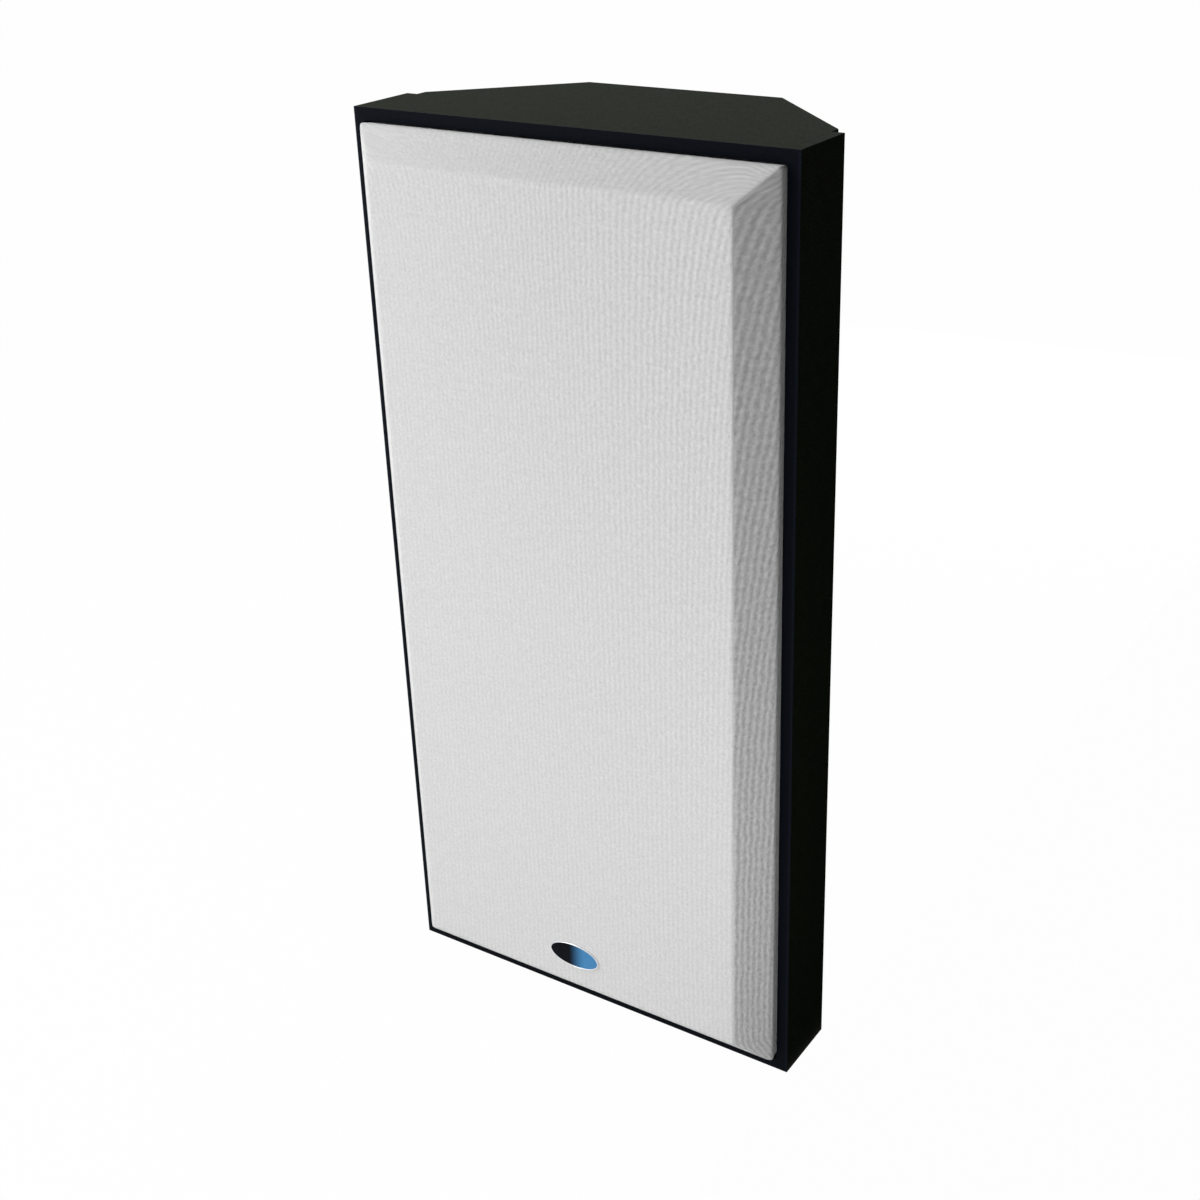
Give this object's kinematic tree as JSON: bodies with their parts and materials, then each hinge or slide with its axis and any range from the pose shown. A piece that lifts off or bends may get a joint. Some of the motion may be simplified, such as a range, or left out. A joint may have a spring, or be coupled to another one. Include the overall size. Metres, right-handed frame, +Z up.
{
  "type": "corner bass trap",
  "caption": "Corner bass trap: black cabinet with rear boards angled to fit a room corner, a sprung membrane inside its mouth and a bevelled fabric-covered absorber that pulls off the front.",
  "frame": {"origin": "on the floor, below the middle of the object's box", "axes": "+Z up, -Y out of the front, +X to the right seen from the front; the two slanted rear boards face the walls of a room corner at 45 degrees to Y"},
  "size_m": [0.6096, 0.3172, 1.2192],
  "materials": {
    "black_laminate": "satin",
    "black_edging": "satin",
    "pine": "matte",
    "foam": "matte",
    "zinc_screw": "satin",
    "hook_tape": "matte",
    "loaded_vinyl": "matte",
    "glass_wool": "matte",
    "grey_fabric": "matte",
    "glass_tissue": "matte",
    "loop_tape": "matte",
    "badge_metal": "satin",
    "badge_enamel": "gloss"
  },
  "bodies": {
    "cabinet": {"left_side_board": "black_laminate", "right_side_board": "black_laminate", "bottom_board": "black_laminate", "top_board": "black_laminate", "left_rear_board": "black_laminate", "right_rear_board": "black_laminate", "back_board": "black_laminate", "left_edge_band": "black_edging", "right_edge_band": "black_edging", "bottom_edge_band": "black_edging", "top_edge_band": "black_edging", "left_rear_cleat": "pine", "right_rear_cleat": "pine", "left_post": "pine", "right_post": "pine", "bottom_rail": "pine", "top_rail": "pine", "left_clamp_strip": "pine", "right_clamp_strip": "pine", "bottom_clamp_strip": "pine", "top_clamp_strip": "pine", "left_front_gasket": "foam", "right_front_gasket": "foam", "bottom_front_gasket": "foam", "top_front_gasket": "foam", "left_rear_gasket": "foam", "right_rear_gasket": "foam", "bottom_rear_gasket": "foam", "top_rear_gasket": "foam", "left_clamp_screw_1": "zinc_screw", "left_clamp_screw_2": "zinc_screw", "left_clamp_screw_3": "zinc_screw", "left_clamp_screw_4": "zinc_screw", "right_clamp_screw_1": "zinc_screw", "right_clamp_screw_2": "zinc_screw", "right_clamp_screw_3": "zinc_screw", "right_clamp_screw_4": "zinc_screw", "bottom_clamp_screw_1": "zinc_screw", "bottom_clamp_screw_2": "zinc_screw", "bottom_clamp_screw_3": "zinc_screw", "top_clamp_screw_1": "zinc_screw", "top_clamp_screw_2": "zinc_screw", "top_clamp_screw_3": "zinc_screw", "left_lower_hook_tape": "hook_tape", "left_upper_hook_tape": "hook_tape", "right_lower_hook_tape": "hook_tape", "right_upper_hook_tape": "hook_tape"},
    "membrane": {"membrane": "loaded_vinyl"},
    "absorber": {"absorber_core": "glass_wool", "fabric_cover": "grey_fabric", "rear_scrim": "glass_tissue", "left_lower_loop_tape": "loop_tape", "left_upper_loop_tape": "loop_tape", "right_lower_loop_tape": "loop_tape", "right_upper_loop_tape": "loop_tape", "badge_plate": "badge_metal", "badge_inlay": "badge_enamel", "left_badge_pin": "badge_metal", "right_badge_pin": "badge_metal"}
  },
  "joints": [
    {"name": "absorber_pull", "type": "slide", "parent": "cabinet", "child": "absorber", "axis": [0, -1, 0], "range_m": [0, 0.12]},
    {"name": "membrane_swing", "type": "slide", "parent": "cabinet", "child": "membrane", "axis": [0, 1, 0], "range_m": [-0.0005, 0.0005], "stiffness_N_per_m": 200000}
  ]
}
